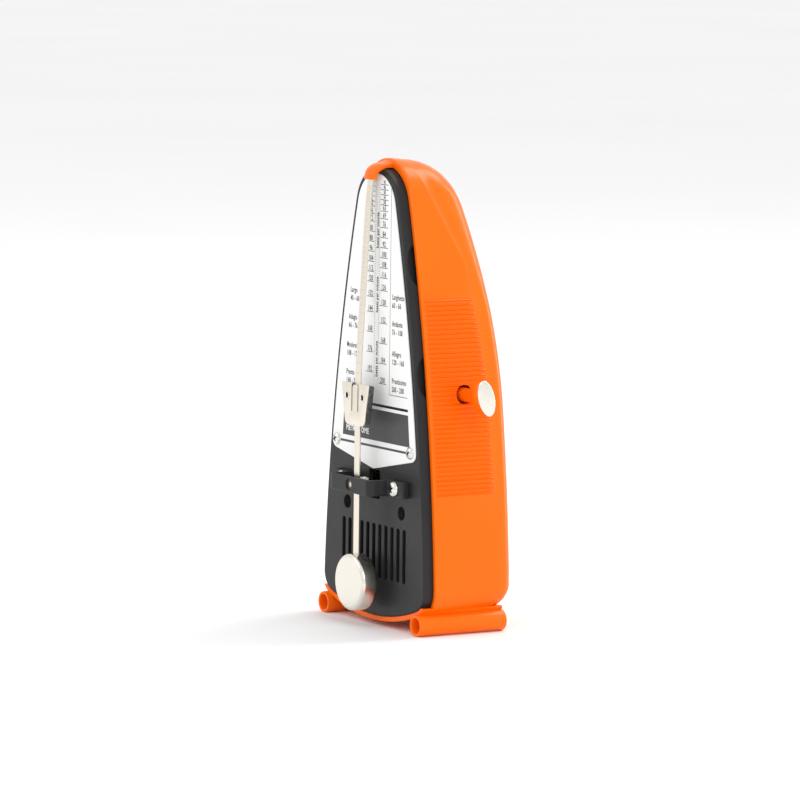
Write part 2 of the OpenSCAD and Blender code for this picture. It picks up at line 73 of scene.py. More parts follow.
# ---------------------------------------------------------------- materials
def material(name, color, rough, metallic=0.0, specular=0.5, coat=0.0, coat_rough=0.1,
             grain=(), tint=0.04, tint_scale=60.0, rough_spread=0.1, sss=0.0, stretch=(1, 1, 1)):
    """A principled material with noise in its colour, its roughness and one or more bumps."""
    mat = bpy.data.materials.new(name)
    mat.use_nodes = True
    tree = mat.node_tree
    shader = tree.nodes["Principled BSDF"]
    shader.inputs["Metallic"].default_value = metallic
    shader.inputs["Specular IOR Level"].default_value = specular
    shader.inputs["Coat Weight"].default_value = coat
    shader.inputs["Coat Roughness"].default_value = coat_rough
    shader.inputs["Subsurface Weight"].default_value = sss
    shader.inputs["Subsurface Radius"].default_value = (1.0, 0.35, 0.1)
    shader.inputs["Subsurface Scale"].default_value = 0.0008

    def add(kind, **values):
        node = tree.nodes.new(kind)
        for key, value in values.items():
            if key in node.inputs:
                node.inputs[key].default_value = value
            else:
                setattr(node, key, value)
        return node

    coords = add("ShaderNodeTexCoord")
    mapping = add("ShaderNodeMapping", Scale=stretch)
    tree.links.new(coords.outputs["Object"], mapping.inputs["Vector"])

    def noise(scale, detail=3.0):
        node = add("ShaderNodeTexNoise", Scale=scale, Detail=detail)
        tree.links.new(mapping.outputs["Vector"], node.inputs["Vector"])
        return node.outputs["Fac"]

    ramp = add("ShaderNodeValToRGB")
    dark = [max(0.0, c * (1 - tint)) for c in color]
    light = [min(1.0, c * (1 + tint)) for c in color]
    ramp.color_ramp.elements[0].position = 0.3
    ramp.color_ramp.elements[1].position = 0.7
    ramp.color_ramp.elements[0].color = (*dark, 1)
    ramp.color_ramp.elements[1].color = (*light, 1)
    tree.links.new(noise(tint_scale), ramp.inputs["Fac"])
    tree.links.new(ramp.outputs["Color"], shader.inputs["Base Color"])

    spread = add("ShaderNodeMapRange")
    spread.inputs["To Min"].default_value = max(0.02, rough * (1 - rough_spread))
    spread.inputs["To Max"].default_value = rough * (1 + rough_spread)
    tree.links.new(noise(tint_scale * 5), spread.inputs["Value"])
    tree.links.new(spread.outputs["Result"], shader.inputs["Roughness"])

    normal = None
    for scale, strength, height in grain:
        bump = add("ShaderNodeBump", Strength=strength, Distance=height)
        tree.links.new(noise(scale, 2.0), bump.inputs["Height"])
        if normal:
            tree.links.new(normal, bump.inputs["Normal"])
        normal = bump.outputs["Normal"]
    if normal:
        tree.links.new(normal, shader.inputs["Normal"])
    return mat


orange = material("orange_moulded_plastic", (0.95, 0.148, 0.002), 0.24, specular=0.17, tint=0.03,
                  tint_scale=45, grain=((2600, 0.1, 0.00003), (160, 0.05, 0.0002)))
# Painted shade: the case's inner skin is the orange darkened to a near-black red, so the inside seen
# through the vents and holes looks unlit.
inner_wall_painted_shade = material("orange_inner_wall_painted_shade", (0.12, 0.012, 0.001), 0.5, specular=0.15, tint=0.1,
                        tint_scale=45, grain=((2600, 0.2, 0.00003),))
black = material("black_satin_plastic", (0.019, 0.0195, 0.0205), 0.4, specular=0.24, tint=0.12,
                 grain=((5200, 0.45, 0.00004),), rough_spread=0.15)
plate_white = material("white_printed_aluminium", (0.86, 0.865, 0.86), 0.38, specular=0.4,
                       tint=0.01, grain=((900, 0.05, 0.00002),), stretch=(1, 1, 8))
ink_black = material("black_ink", (0.012, 0.012, 0.013), 0.5, specular=0.2, tint=0.1,
                     grain=((3000, 0.1, 0.00001),))
ink_grey = material("grey_ink", (0.055, 0.055, 0.058), 0.42, specular=0.3, tint=0.06,
                    grain=((3000, 0.1, 0.00001),))
ink_white = material("white_ink", (0.9, 0.9, 0.9), 0.5, tint=0.02, grain=((3000, 0.1, 0.00001),))
chrome = material("chromed_screw_steel", (0.74, 0.73, 0.68), 0.17, metallic=1.0, tint=0.03,
                  grain=((1500, 0.1, 0.00002),), rough_spread=0.3)
recess = material("screw_recess_shade", (0.05, 0.048, 0.045), 0.5, metallic=0.6, tint=0.2,
                  tint_scale=800, grain=((3000, 0.2, 0.00002),))
# Painted shade: brass darkened nearly to black for the pivot bushes, so the bridge's pivot hole reads
# as a dark, unlit hole.
bush_painted_shade_brass = material("brass_darkened_as_painted_shade", (0.13, 0.1, 0.055), 0.45, metallic=0.9, tint=0.15,
                     tint_scale=500, grain=((2500, 0.2, 0.00002),))
bright = material("polished_nickel_plate", (0.78, 0.75, 0.68), 0.23, metallic=1.0, tint=0.015,
                  grain=((3200, 0.04, 0.000004),), rough_spread=0.08)
nickel = material("satin_nickelled_strip", (0.8, 0.74, 0.64), 0.3, metallic=1.0, tint=0.03,
                  grain=((1800, 0.12, 0.00002),), stretch=(6, 6, 0.4), rough_spread=0.25)
zinc = material("cast_grey_zinc", (0.1, 0.1, 0.1), 0.55, metallic=0.7, tint=0.5,
                tint_scale=700, grain=((1500, 0.5, 0.00008), (5000, 0.3, 0.00003)))
brass = material("satin_clock_brass", (0.72, 0.5, 0.19), 0.28, metallic=1.0, tint=0.06,
                 tint_scale=200, grain=((2500, 0.15, 0.00002),), stretch=(1, 5, 1))
steel = material("ground_steel", (0.56, 0.56, 0.58), 0.3, metallic=1.0, tint=0.05,
                 tint_scale=300, grain=((3000, 0.15, 0.00002),), stretch=(1, 5, 1))
floor_white = material("pale_studio_floor", (0.9, 0.9, 0.9), 0.6, specular=0.2, tint=0.01,
                       tint_scale=3, grain=((40, 0.02, 0.0005),))


# ---------------------------------------------------------------- mesh helpers
def finish_mesh(obj, mat, sharp=35, weighted=False):
    """Cleans a mesh, shades it smooth up to the sharp angle and gives it its material."""
    bm = bmesh.new()
    bm.from_mesh(obj.data)
    bmesh.ops.remove_doubles(bm, verts=bm.verts, dist=1e-7)
    bmesh.ops.recalc_face_normals(bm, faces=bm.faces)
    bm.to_mesh(obj.data)
    bm.free()
    obj.data.polygons.foreach_set("use_smooth", [True] * len(obj.data.polygons))
    obj.data.set_sharp_from_angle(angle=math.radians(sharp))
    obj.data.materials.clear()
    obj.data.materials.append(mat)
    if weighted:
        mod = obj.modifiers.new("normals", "WEIGHTED_NORMAL")
        mod.keep_sharp = True
        apply_modifiers(obj)


def new_object(name, verts, faces):
    mesh = bpy.data.meshes.new(name)
    mesh.from_pydata([place(v) for v in verts], [], faces)
    obj = bpy.data.objects.new(name, mesh)
    scene.collection.objects.link(obj)
    bm = bmesh.new()
    bm.from_mesh(mesh)
    bmesh.ops.recalc_face_normals(bm, faces=bm.faces)
    bm.to_mesh(mesh)
    bm.free()
    return obj


def loft(loops, cap=True, closed=False):
    """Vertices and faces of a skin over loops of points; capped at both ends, or closed round."""
    n = len(loops[0])
    verts = [p for loop in loops for p in loop]
    faces = []
    rings = len(loops) if closed else len(loops) - 1
    for k in range(rings):
        a, b = k * n, (k + 1) % len(loops) * n
        faces += [(a + i, a + (i + 1) % n, b + (i + 1) % n, b + i) for i in range(n)]
    if cap and not closed:
        faces.append(tuple(range(n - 1, -1, -1)))
        faces.append(tuple((len(loops) - 1) * n + i for i in range(n)))
    return verts, faces


def merge(parts):
    verts, faces = [], []
    for v, f in parts:
        base = len(verts)
        verts += v
        faces += [tuple(i + base for i in face) for face in f]
    return verts, faces


def absorb(obj, *others):
    """Joins the meshes of the other objects into the first one, and removes the others."""
    bm = bmesh.new()
    for part in (obj, *others):
        bm.from_mesh(part.data)
    bm.to_mesh(obj.data)
    bm.free()
    for part in others:
        bpy.data.objects.remove(part)


def apply_modifiers(obj):
    depsgraph = bpy.context.evaluated_depsgraph_get()
    mesh = bpy.data.meshes.new_from_object(obj.evaluated_get(depsgraph))
    obj.modifiers.clear()
    obj.data = mesh


def cut(obj, cutter, operation="DIFFERENCE"):
    mod = obj.modifiers.new("cut", "BOOLEAN")
    mod.operation = operation
    mod.solver = "EXACT"
    mod.use_self = True
    mod.object = cutter
    apply_modifiers(obj)
    bpy.data.objects.remove(cutter)


def bevel(obj, width, segments=3, angle=40):
    mod = obj.modifiers.new("bevel", "BEVEL")
    mod.width = width * MM
    mod.segments = segments
    mod.limit_method = "ANGLE"
    mod.angle_limit = math.radians(angle)
    mod.use_clamp_overlap = True
    apply_modifiers(obj)


def seat(obj, body, slot, *replaced):
    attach(obj, body)
    if replaced:
        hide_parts(*replaced)


def turned(r, t, angle, axis, centre):
    """A point at radius r and distance t, turned by the angle about the d or x axis."""
    u, w = r * math.sin(angle), r * math.cos(angle)
    if axis == "d":
        return (centre[0] + u, centre[1] + t, centre[2] + w)
    return (centre[0] + t, centre[1] + u, centre[2] + w)


def revolve(profile, axis, centre, segments=48):
    """Skin of a closed (radius, distance) profile turned about the d or x axis through centre."""
    angles = [2 * math.pi * s / segments for s in range(segments)]
    return loft([[turned(r, t, a, axis, centre) for r, t in profile] for a in angles], closed=True)


def spun(profile, axis, centre, segments=48):
    """Like revolve, for a profile that starts and ends on the axis."""
    verts, faces = [], []
    first, last = profile[0], profile[-1]
    ring = profile[1:-1]
    verts.append(turned(0, first[1], 0, axis, centre))
    for r, t in ring:
        verts += [turned(r, t, 2 * math.pi * s / segments, axis, centre) for s in range(segments)]
    verts.append(turned(0, last[1], 0, axis, centre))
    end = len(verts) - 1
    n = segments
    for s in range(n):
        faces.append((0, 1 + (s + 1) % n, 1 + s))
        low = 1 + (len(ring) - 1) * n
        faces.append((end, low + s, low + (s + 1) % n))
    for k in range(len(ring) - 1):
        a, b = 1 + k * n, 1 + (k + 1) * n
        faces += [(a + s, a + (s + 1) % n, b + (s + 1) % n, b + s) for s in range(n)]
    return verts, faces


def rounded(points, radii, steps=5):
    """Closed 2-D outline whose corners are rounded with the given radii."""
    out = []
    n = len(points)
    for i, (p, r) in enumerate(zip(points, radii)):
        p = Vector(p)
        a = (Vector(points[i - 1]) - p)
        b = (Vector(points[(i + 1) % n]) - p)
        if r <= 0:
            out.append(tuple(p))
            continue
        half = a.angle(b) / 2
        reach = min(r / math.tan(half), a.length * 0.49, b.length * 0.49)
        r = reach * math.tan(half)
        a.normalize()
        b.normalize()
        centre = p + (a + b).normalized() * (r / math.sin(half))
        start, stop = p + a * reach - centre, p + b * reach - centre
        turn = start.angle_signed(stop)
        for k in range(steps + 1):
            v = start.copy()
            v.rotate(Matrix.Rotation(-turn * k / steps, 2))
            out.append(tuple(centre + v))
    return out


def prism(outline, axis, low, high):
    """A straight prism: an outline in (x, z), (d, z) or (x, d) along d, x or z."""
    def lift(p, t):
        if axis == "d":
            return (p[0], t, p[1])
        if axis == "x":
            return (t, p[0], p[1])
        return (p[0], p[1], t)
    return loft([[lift(p, low) for p in outline], [lift(p, high) for p in outline]])


def both(part):
    verts, faces = part
    return merge([part, ([(-x, d, z) for x, d, z in verts], [tuple(reversed(f)) for f in faces])])


def smooth_path(points, count):
    """Points along a Catmull-Rom curve through the given ones, evenly spaced by parameter."""
    pts = [Vector(p) for p in points]
    pts = [2 * pts[0] - pts[1]] + pts + [2 * pts[-1] - pts[-2]]
    out = []
    spans = len(pts) - 3
    for k in range(count + 1):
        u = k / count * spans
        i = min(int(u), spans - 1)
        t = u - i
        p0, p1, p2, p3 = pts[i:i + 4]
        out.append(0.5 * ((2 * p1) + (p2 - p0) * t + (2 * p0 - 5 * p1 + 4 * p2 - p3) * t * t
                          + (3 * p1 - p0 - 3 * p2 + p3) * t ** 3))
    return out


# ---------------------------------------------------------------- the case's outline
SIDE_X, SIDE_Z, SIDE_R = -605.64, -13.2, 640.0
LOW_Z, LOW_R = 93.3, 90.0
PANEL_TOP, CASE_TOP = 157.1, 160.0
CORNER_R = 7.0
RIB_LOW, RIB_HIGH, RIB_COUNT = 47.9, 112.9, 42
RIB_PITCH = (RIB_HIGH - RIB_LOW) / (RIB_COUNT - 1)
RIB_SECTION = ((0.0, 0.22), (0.18, 0.2), (0.29, 0.06), (0.5, -0.6), (0.71, 0.06), (0.82, 0.2),
               (1.0, 0.22))
rib_rows = [RIB_LOW + (k + t - 0.5) * RIB_PITCH
            for k in range(RIB_COUNT) for t, h in RIB_SECTION[:-1]] + [RIB_HIGH + RIB_PITCH / 2]
plain_rows = [RIB_LOW - RIB_PITCH / 2 + k * (RIB_HIGH - RIB_LOW + RIB_PITCH) / 12
              for k in range(13)]


def corner_centre(side, low, corner):
    """Centre of the circle that rounds the corner between the side's and the bottom's curves."""
    r1, r2 = SIDE_R + side - corner, LOW_R + low - corner
    gap_x, gap_z = -SIDE_X, LOW_Z - SIDE_Z
    dist = math.hypot(gap_x, gap_z)
    along = (r1 * r1 - r2 * r2 + dist * dist) / (2 * dist)
    off = math.sqrt(max(0.0, r1 * r1 - along * along))
    ux, uz = gap_x / dist, gap_z / dist
    return SIDE_X + along * ux + off * uz, SIDE_Z + along * uz - off * ux


def outline(side, low=None, top=None, corner=None, rows=plain_rows, n_low=14, n_corner=8, n_cap=14):
    """Closed front outline in (x, z), grown by side and low; starts at the bottom centre."""
    low = side if low is None else low
    top = PANEL_TOP + side if top is None else top
    corner = CORNER_R + side if corner is None else corner
    cx, cz = corner_centre(side, low, corner)
    r_side, r_low = SIDE_R + side, LOW_R + low
    half = []
    turn = math.atan2(cx, LOW_Z - cz)
    for k in range(n_low + 1):
        a = turn * k / n_low
        half.append((r_low * math.sin(a), LOW_Z - r_low * math.cos(a)))
    start = -math.pi / 2 + turn
    stop = math.atan2(cz - SIDE_Z, cx - SIDE_X)
    for k in range(1, n_corner + 1):
        a = start + (stop - start) * k / n_corner
        half.append((cx + corner * math.cos(a), cz + corner * math.sin(a)))
    reach = r_side - top
    cap_z = (SIDE_X ** 2 + SIDE_Z ** 2 - reach ** 2) / (2 * reach + 2 * SIDE_Z)
    cap_r = top - cap_z
    cap_start = math.atan2(cap_z - SIDE_Z, -SIDE_X)
    side_low, side_high = half[-1][1], cap_z + cap_r * math.sin(cap_start)

    def on_side(z):
        return (SIDE_X + math.sqrt(r_side ** 2 - (z - SIDE_Z) ** 2), z)
    half += [on_side(side_low + (rows[0] - side_low) * k / 6) for k in range(1, 6)]
    half += [on_side(z) for z in rows]
    half += [on_side(rows[-1] + (side_high - rows[-1]) * k / 6) for k in range(1, 7)]
    for k in range(1, n_cap + 1):
        a = cap_start + (math.pi / 2 - cap_start) * k / n_cap
        half.append((cap_r * math.cos(a), cap_z + cap_r * math.sin(a)))
    half[-1] = (0.0, top)
    return half + [(-x, z) for x, z in reversed(half[1:-1])]


BACK_D, BULGE, BACK_R, BACK_TURN = 36.2, 1.15, 255.0, 75.0


def back_depth(z):
    over = max(0.0, z - BACK_TURN)
    return BACK_D - (BACK_R - math.sqrt(BACK_R ** 2 - over ** 2))


def end_weight(z):
    """0 along the sides, 1 at the crown and at the bottom, where the rear edge is rounder."""
    high = min(1.0, max(0.0, (z - 108) / 42))
    low = min(1.0, max(0.0, (22 - z) / 12))
    t = max(high, low)
    return t * t * (3 - 2 * t)


def rib_height(z):
    t = (z - RIB_LOW) / RIB_PITCH + 0.5
    if t < -0.001 or t > RIB_COUNT + 0.001:
        return 0.0
    t -= math.floor(t)
    for (t0, h0), (t1, h1) in zip(RIB_SECTION, RIB_SECTION[1:]):
        if t <= t1:
            return h0 + (h1 - h0) * (t - t0) / (t1 - t0)
    return RIB_SECTION[-1][1]


def shell_skin():
    """Outer and inner skin of the case as one closed solid."""
    rows = rib_rows
    side_edge, end_edge, last = 5.0, 9.0, math.radians(84)
    crown_edge, crown_drop = 16.5, 10.5
    draft, outer_corner = 1.7, CORNER_R + WALL
    rear = outline(WALL - draft - side_edge, WALL - draft - end_edge, CASE_TOP - 0.4 - crown_drop,
                   2.0, rows)
    depths = [back_depth(z) for x, z in rear]
    edges = [side_edge + ((crown_edge if z > BACK_TURN else end_edge) - side_edge) * end_weight(z)
             for x, z in rear]
    n = len(rear)
    loops = []

    def add(side, low, top, corner, depth, ribs=0.0):
        pts = outline(side, low, top, corner, rows)
        loop = []
        for i, (x, z) in enumerate(pts):
            push = ribs * rib_height(z) if abs(x) > 10 else 0.0
            loop.append((x + math.copysign(push, x), depth(i), z))
        loops.append(loop)

    def fixed(d):
        return lambda i: d

    add(GAP, GAP, PANEL_TOP + GAP, CORNER_R + GAP, fixed(RIM_D + 0.6))
    add(GAP + 0.2, GAP + 0.2, PANEL_TOP + GAP + 0.2, CORNER_R + GAP + 0.2, fixed(RIM_D))
    add(WALL - 0.35, WALL - 0.35, CASE_TOP - 0.45, outer_corner - 0.35, fixed(RIM_D))
    add(WALL - 0.12, WALL - 0.12, CASE_TOP - 0.14, outer_corner - 0.12, fixed(RIM_D + 0.1))
    add(WALL, WALL, CASE_TOP, outer_corner, fixed(RIM_D + 0.45))
    add(WALL, WALL, CASE_TOP, outer_corner, fixed(RIM_D + 1.0))
    add(WALL, WALL, CASE_TOP, outer_corner, fixed(RIM_D + 1.4), 1.0)

    def rib_end(back):
        def depth(i):
            z = rear[i][1]
            ribbed = 7.6 + min(1.0, max(0.0, (z - RIB_LOW) / (RIB_HIGH - RIB_LOW)))
            return depths[i] - max(ribbed, edges[i] + 0.6) - back
        return depth
    drawn_in = draft * 0.72
    side, corner = WALL - drawn_in, outer_corner - drawn_in
    add(side, side, CASE_TOP - 0.25, corner, rib_end(0.4), 1.0)
    add(side, side, CASE_TOP - 0.25, corner, rib_end(0.0))
    turns = 7
    for k in range(turns + 1):
        a = last * k / turns
        drop_side, drop_end = side_edge * (1 - math.cos(a)), end_edge * (1 - math.cos(a))
        top = CASE_TOP - 0.4 - crown_drop * (1 - math.cos(a))
        corner = max(2.0, outer_corner - draft - drop_end)
        add(WALL - draft - drop_side, WALL - draft - drop_end, top, corner,
            lambda i, a=a: depths[i] - edges[i] * (1 - math.sin(a)))
    verts, faces = loft(loops, cap=False)

    def back_cap(loop, flip):
        """Fills a loop that is the same left and right with rows that bulge at the middle."""
        base = len(verts)
        columns = 12
        half = n // 2
        grid = []
        for i in range(half + 1):
            right, left = loop[i], loop[(n - i) % n]
            row = []
            for c in range(columns + 1):
                t = c / columns
                bulge = BULGE * 4 * t * (1 - t) * min(1.0, abs(right[0]) / 12)
                row.append((right[0] + (left[0] - right[0]) * t, right[1] + bulge, right[2]))
            grid.append(row)
        flat = [p for row in grid for p in row]
        verts.extend(flat)
        for i in range(half):
            for c in range(columns):
                a = base + i * (columns + 1) + c
                b = a + columns + 1
                quad = (a, a + 1, b + 1, b)
                faces.append(tuple(reversed(quad)) if flip else quad)
    back_cap(loops[-1], False)
    inner = []
    for side, low, top, corner, depth in (
            (GAP, GAP, PANEL_TOP + GAP, CORNER_R + GAP, fixed(RIM_D + 0.6)),
            (0.0, 0.0, PANEL_TOP, CORNER_R, fixed(9.5)),
            (-1.5, -1.5, PANEL_TOP - 0.6, 5.4, lambda i: depths[i] - 8.0),
            (-4.9, -8.0, PANEL_TOP - 7.5, 2.0, lambda i: depths[i] - 1.9)):
        pts = outline(side, low, top, corner, rows)
        inner.append([(x, depth(i), z) for i, (x, z) in enumerate(pts)])
    v2, f2 = loft(inner, cap=False)
    base = len(verts)
    verts.extend(v2)
    faces.extend(tuple(reversed([i + base for i in f])) for f in f2)
    back_cap(inner[-1], True)
    return verts, faces


def tray_skin():
    """The lip under the panel, with flat top ends."""
    stations = []
    end_z = 9.5
    back, edge = RIM_D + 0.5, 0.3
    sections = [(GAP, back), (GAP, edge), (edge, 0.0), (WALL - edge, 0.0), (WALL, edge),
                (WALL, back)]
    count_low, count_corner = 30, 8
    for mirror in (-1, 1):
        span = []
        for k in range(count_low + count_corner + 1):
            ring = []
            for off, d in sections:
                corner = CORNER_R + off
                cx, cz = corner_centre(off, off, corner)
                turn = math.atan2(cx, LOW_Z - cz)
                if k <= count_low:
                    a = turn * k / count_low
                    x, z = (LOW_R + off) * math.sin(a), LOW_Z - (LOW_R + off) * math.cos(a)
                else:
                    stop = math.acos((cz - end_z) / corner)
                    a = turn + (stop - turn) * (k - count_low) / count_corner
                    x, z = cx + corner * math.sin(a), cz - corner * math.cos(a)
                ring.append((mirror * x, d, z))
            span.append(ring)
        stations.append(span)
    left, right = stations
    return loft(list(reversed(left[1:])) + right)


FOOT_X, FOOT_Z, FOOT_R, BORE_R = 31.2, 3.55, 3.7, 2.7
FOOT_FRONT, FOOT_BACK = -1.65, 32.65


def foot_skin():
    edge = 0.3
    profile = [(BORE_R, FOOT_FRONT + edge), (BORE_R + edge * 0.3, FOOT_FRONT + edge * 0.3),
               (BORE_R + edge, FOOT_FRONT), (FOOT_R - edge, FOOT_FRONT),
               (FOOT_R - edge * 0.3, FOOT_FRONT + edge * 0.3), (FOOT_R, FOOT_FRONT + edge),
               (FOOT_R, FOOT_BACK - edge), (FOOT_R - edge * 0.3, FOOT_BACK - edge * 0.3),
               (FOOT_R - edge, FOOT_BACK), (BORE_R + edge, FOOT_BACK),
               (BORE_R, FOOT_BACK - edge)]
    verts, faces = revolve(profile, "d", (FOOT_X, 0, FOOT_Z), 64)
    return [(x, d, max(0.0, z)) for x, d, z in verts], faces


def hood_skin():
    """The hooked visor at the crown that holds the rod's tip."""
    edge = [(6.0, 159.0), (4.6, 158.9), (3.3, 158.35), (1.9, 158.05), (0.5, 157.8), (-0.7, 157.3),
            (-1.7, 156.5), (-2.4, 155.5), (-2.85, 154.3), (-3.0, 153.2), (-3.0, 152.95)]
    mid = [(6.0, 159.9), (4.4, 159.8), (2.9, 159.1), (1.4, 158.55), (-0.2, 158.3), (-1.7, 157.7),
           (-2.9, 156.8), (-3.65, 155.7), (-4.05, 154.4), (-4.2, 153.2), (-4.2, 152.95)]
    under = [(6.0, 157.3), (4.4, 157.0), (3.2, 156.95), (2.0, 156.9), (0.8, 156.8), (-0.4, 156.5),
             (-1.5, 156.0), (-2.4, 155.4), (-2.85, 154.5), (-2.95, 153.4), (-2.95, 152.95)]
    steps = 30
    edge, mid, under = (smooth_path(p, steps) for p in (edge, mid, under))
    half_w, columns = 4.0, 14
    loops = []
    for e, m, u in zip(edge, mid, under):
        loop = []
        for c in range(columns + 1):
            t = -1 + 2 * c / columns
            p = m.lerp(e, abs(t) ** 2.6)
            loop.append((half_w * t, p.x, p.y))
        for c in range(columns + 1):
            t = 1 - 2 * c / columns
            side = abs(t) ** 2
            loop.append((half_w * t * 0.97, u.x + 0.45 * side * (1 if u.x < 0 else 0), u.y))
        loops.append(loop)
    return loft(loops)


def build_housing():
    shell = new_object("shell", *shell_skin())
    drill = [(0, 20), (KEY_HOLE_R, 20), (KEY_HOLE_R, 40), (0, 40)]
    cut(shell, new_object("cutter", *spun(drill, "x", (0, KEY_D, KEY_Z), 48)))
    web = prism([(28.2, 4.6), (29.0, 5.85), (30.2, 6.6), (31.6, 6.75), (32.2, 8.0), (31.7, 8.6),
                 (28.0, 8.4), (27.6, 7.8)], "d", 0.4, 32.3)
    boss = [(1.2, 20.0), (3.0, 20.0), (3.0, 34.5), (1.2, 34.5)]
    bosses = revolve(boss, "d", (HOUSING_SCREW_X, 0, HOUSING_SCREW_Z), 32)
    small = new_object("small", *merge([tray_skin(), both(foot_skin()), both(web),
                                        both(bosses)]))
    hood = new_object("hood", *hood_skin())
    bevel(hood, 0.28, 3, 50)
    absorb(shell, small, hood)
    shell.name = "housing_moulding"
    finish_mesh(shell, orange, 38)
    # Faces on the inside of the case get the darkened orange: painted shade on the moulding's inner
    # skin.
    shell.data.materials.append(inner_wall_painted_shade)
    for poly in shell.data.polygons:
        c, n = poly.center, poly.normal
        x, d, z = (c.x - MID_X) / MM, (c.y - FACE_Y) / MM, c.z / MM
        inward = (n.x * x < -0.5 * abs(x) or (n.y < -0.5 and d > 12)
                  or (n.z < -0.5 and z > 130) or (n.z > 0.5 and z < 14))
        if inward and d > 5 and abs(x) < SIDE_X + SIDE_R and z > 3 and not (
                math.hypot(abs(x) - FOOT_X, z - FOOT_Z) < 5.2):
            poly.material_index = 1
    seat(shell, "case", "orange_plastic", "rear_housing")


def flared(outline_at, flare=0.25, deep=3.0):
    """Cutter through the panel that leaves a small chamfer round the opening."""
    steps = [(flare + 0.3, -0.3), (flare, 0.0), (flare * 0.3, flare * 0.4), (0.0, flare), (0.0, deep)]
    return loft([[(x, d, z) for x, z in outline_at(grow)] for grow, d in steps])


def capsule(x, low, high, r, n=10):
    def at(grow):
        pts = []
        for k in range(n + 1):
            a = math.pi * k / n
            pts.append((x + (r + grow) * math.cos(a), high + (r + grow) * math.sin(a)))
        for k in range(n + 1):
            a = math.pi + math.pi * k / n
            pts.append((x + (r + grow) * math.cos(a), low + (r + grow) * math.sin(a)))
        return pts
    return at


def disc(x, z, r, n=40):
    return lambda grow: [(x + (r + grow) * math.cos(2 * math.pi * k / n),
                          z + (r + grow) * math.sin(2 * math.pi * k / n)) for k in range(n)]


VENT_X = [(k - 5) * 4.06 for k in range(11)]


def build_chassis():
    profile = [(-0.42, 0.0), (-0.26, 0.03), (-0.12, 0.12), (-0.03, 0.26), (0.0, 0.42), (0.0, 9.0),
               (-1.6, 9.0), (-1.6, 1.8)]
    loops = [[(x, d, z) for x, z in outline(off)] for off, d in profile]
    chassis = new_object("panel_moulding", *loft(loops))
    cutters = [flared(capsule(x, 17.3, 33.9, 1.0)) for x in VENT_X]
    cutters += [flared(disc(s * HOUSING_SCREW_X, HOUSING_SCREW_Z, 2.3)) for s in (-1, 1)]
    slot = rounded([(-3.5, 43.6), (3.5, 43.6), (3.5, 53.4), (-3.5, 53.4)], [0.6] * 4, 3)
    cutters.append(flared(lambda grow: [(x * (1 + grow / 3.5), 48.5 + (z - 48.5) * (1 + grow / 5))
                                        for x, z in slot]))
    for z in (87.3, 124.9):
        oval = [(4.75 + 4.0 * math.cos(2 * math.pi * k / 48), z + 6.9 * math.sin(2 * math.pi * k / 48))
                for k in range(48)]
        cutters += [prism(oval, "x", 12, 40), prism(oval, "x", -40, -12)]
    cut(chassis, new_object("cutter", *merge(cutters)))
    posts = [revolve([(1.0, 1.7), (2.2, 1.7), (2.2, 7), (1.0, 7)], "d",
                     (PLATE_SCREW_X, 0, PLATE_SCREW_Z), 24),
             revolve([(1.2, 1.7), (2.2, 1.7), (2.2, 7), (1.2, 7)], "d",
                     (BRIDGE_SCREW_X, 0, PIVOT_Z), 24),
             revolve([(1.3, 3.4), (2.3, 3.4), (2.3, 1.7), (3.2, 1.7), (3.2, 7), (1.3, 7)], "d",
                     (HOUSING_SCREW_X, 0, HOUSING_SCREW_Z), 32)]
    lining = loft([[(x, d, z) for x, z in outline(off)] for off, d in
                   ((-1.55, 1.7), (-1.55, 8.9), (-2.1, 8.9), (-2.1, 1.7))], closed=True)
    extra = new_object("small", *merge([both(merge(posts)), lining]))
    absorb(chassis, extra)
    finish_mesh(chassis, black, 30, True)
    seat(chassis, "case", "black_plastic", "front_chassis")


PLATE_OFF, V_TIP, V_SLOPE = -2.15, 53.7, 0.19


def plate_outline(grow):
    """Scale plate: the panel's outline shrunk, closed by a shallow V below."""
    off = PLATE_OFF + grow
    full = outline(off)
    half = [p for p in full[:len(full) // 2 + 1] if p[1] > 66]
    r_side = SIDE_R + off
    z = V_TIP + 25 * V_SLOPE
    x = SIDE_X + math.sqrt(r_side ** 2 - (z - SIDE_Z) ** 2)
    tip = (0.0, V_TIP - grow)
    low = rounded([(0.0, 90.0), tip, (x, V_TIP - grow + x * V_SLOPE), half[0]], [0, 0, 2.8, 0], 6)
    low = [p for p in low[1:] if p != half[0]]
    right = low + half
    left = [(-px, pz) for px, pz in reversed(right[1:-1])]
    return right + left


def build_plate():
    profile = [(-0.1, 0.0), (0.0, -0.08), (0.0, -0.4), (-0.1, -0.5)]
    loops = [[(x, d, z) for x, z in plate_outline(grow)] for grow, d in profile]
    plate = new_object("scale_plate_sheet", *loft(loops))
    finish_mesh(plate, plate_white, 50, True)
    seat(plate, "case", "white_aluminium", "scale_plate")


# ---------------------------------------------------------------- print on the scale plate
PRINT_D = -0.5
TEMPI = (40, 42, 44, 46, 48, 50, 52, 54, 56, 58, 60, 63, 66, 69, 72, 76, 80, 84, 88, 92, 96, 100,
         104, 108, 112, 116, 120, 126, 132, 138, 144, 152, 160, 168, 176, 184, 192, 200, 208)


TEMPO_WORDS = (
    (-16.6, 113.2, "Largo", "40 - 60"), (11.5, 112.8, "Larghetto", "60 - 66"),
    (-17.6, 103.8, "Adagio", "66 - 76"), (11.6, 103.7, "Andante", "76 - 108"),
    (-18.7, 94.1, "Moderato", "108 - 120"), (11.8, 93.5, "Allegro", "120 - 168"),
    (-18.9, 84.7, "Presto", "168 - 200"), (11.9, 84.2, "Prestissimo", "200 - 208"))


def tempo_z(tempo):
    return 83.4 + (200 - tempo) * 0.43


def bar(x0, z0, x1, z1, thick=0.02):
    low, high = PRINT_D - thick, PRINT_D + 0.01
    return prism([(x0, z0), (x1, z0), (x1, z1), (x0, z1)], "d", low, high)


